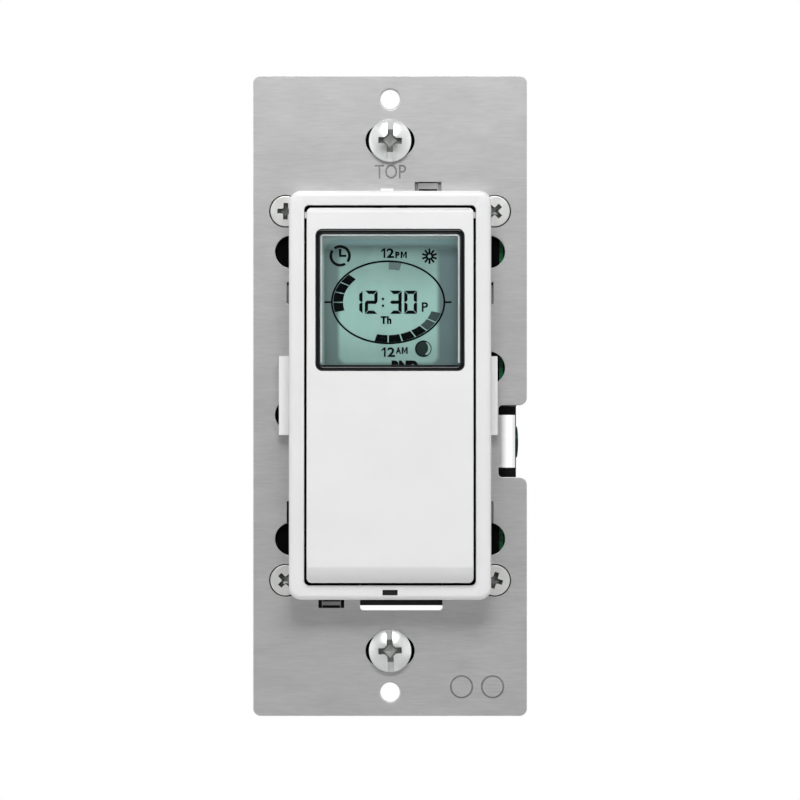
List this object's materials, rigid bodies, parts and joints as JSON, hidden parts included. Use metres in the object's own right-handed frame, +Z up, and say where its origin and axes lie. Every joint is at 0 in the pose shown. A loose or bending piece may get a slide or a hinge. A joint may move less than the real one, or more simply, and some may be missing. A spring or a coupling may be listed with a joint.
{
  "type": "timer light switch",
  "caption": "Wall-box timer switch: a white push pad with a clock display in a front frame on a steel mounting strap, with a dark housing behind it.",
  "frame": {"origin": "centre of the mounting strap's rear face, midway between the wall-plate holes", "axes": "+X to the right seen from the front, +Z up to the strap's top edge, the front looks along -Y"},
  "size_m": [0.0448, 0.0417, 0.1046],
  "materials": {
    "white_plastic": "satin moulded",
    "grey_plastic": "moulded",
    "key_plastic": "moulded",
    "dark_plastic": "moulded",
    "black_fibre": "pressed fibre",
    "clear_lens": "polished",
    "display_glass": "polished",
    "display_reflector": "pearl film",
    "elastomer": "matte",
    "strap_steel": "brushed",
    "screw_steel": "bright plated",
    "ground_green": "green plated",
    "board_green": "solder mask",
    "black_component": "moulded",
    "metal_can": "plain",
    "blue_component": "moulded",
    "yellow_component": "dipped",
    "copper_winding": "enamelled",
    "terminal_brass": "plain"
  },
  "bodies": {
    "base": {"face_frame": "white_plastic", "front_chassis": "dark_plastic", "rear_housing": "dark_plastic", "lcd_retainer": "dark_plastic", "screw_retainers": "black_fibre", "insulator_sheet": "black_fibre", "lcd_front_glass": "display_glass", "lcd_rear_glass": "display_glass", "lcd_reflector": "display_reflector", "zebra_strip": "elastomer", "mounting_strap": "strap_steel", "mounting_screws": "screw_steel", "strap_screws": "screw_steel", "board_screws": "screw_steel", "ground_screw": "ground_green", "control_board": "board_green", "power_board": "board_green", "tact_switches": "black_component", "override_switch": "black_component", "microcontroller": "black_component", "board_header": "black_component", "rectifier": "black_component", "crystal": "metal_can", "relay": "blue_component", "backup_capacitor": "blue_component", "electrolytic_capacitor": "blue_component", "film_capacitor": "yellow_component", "varistor": "yellow_component", "resistors": "yellow_component", "choke": "copper_winding", "terminal_plates": "terminal_brass", "terminal_screws": "terminal_brass", "air_gap_contacts": "terminal_brass"},
    "carrier": {"pad_carrier": "grey_plastic", "pad_hinge_pin": "screw_steel"},
    "cover": {"push_pad": "white_plastic", "window_border": "dark_plastic", "display_lens": "clear_lens"},
    "plunger": {"override_plunger": "grey_plastic"},
    "mode_key": {"mode_button": "key_plastic"},
    "up_key": {"up_button": "key_plastic"},
    "down_key": {"down_button": "key_plastic"},
    "enter_key": {"enter_button": "key_plastic"},
    "slider": {"air_gap_slider": "dark_plastic"}
  },
  "joints": [
    {"name": "pad_press", "type": "hinge", "parent": "base", "child": "carrier", "pos_m": [0, -0.00394, 0.0261], "axis": [1, 0, 0], "range_deg": [0, 0.9], "stiffness_Nm_per_rad": 6},
    {"name": "pad_flip", "type": "hinge", "parent": "carrier", "child": "cover", "pos_m": [0, -0.0058, 0.0293], "axis": [-1, 0, 0], "range_deg": [0, 90]},
    {"name": "plunger_slide", "type": "slide", "parent": "base", "child": "plunger", "axis": [0, 1, 0], "range_m": [0, 0.00076]},
    {"name": "mode_press", "type": "slide", "parent": "base", "child": "mode_key", "axis": [0, 1, 0], "range_m": [0, 0.0005], "stiffness_N_per_m": 2500},
    {"name": "up_press", "type": "slide", "parent": "base", "child": "up_key", "axis": [0, 1, 0], "range_m": [0, 0.0005], "stiffness_N_per_m": 2500},
    {"name": "down_press", "type": "slide", "parent": "base", "child": "down_key", "axis": [0, 1, 0], "range_m": [0, 0.0005], "stiffness_N_per_m": 2500},
    {"name": "enter_press", "type": "slide", "parent": "base", "child": "enter_key", "axis": [0, 1, 0], "range_m": [0, 0.0005], "stiffness_N_per_m": 2500},
    {"name": "slider_pull", "type": "slide", "parent": "base", "child": "slider", "axis": [0, -1, 0], "range_m": [0, 0.003]}
  ],
  "couplings": [
    {"joint": "plunger_slide", "follows": "pad_press", "m_per_rad": 0.0481}
  ]
}
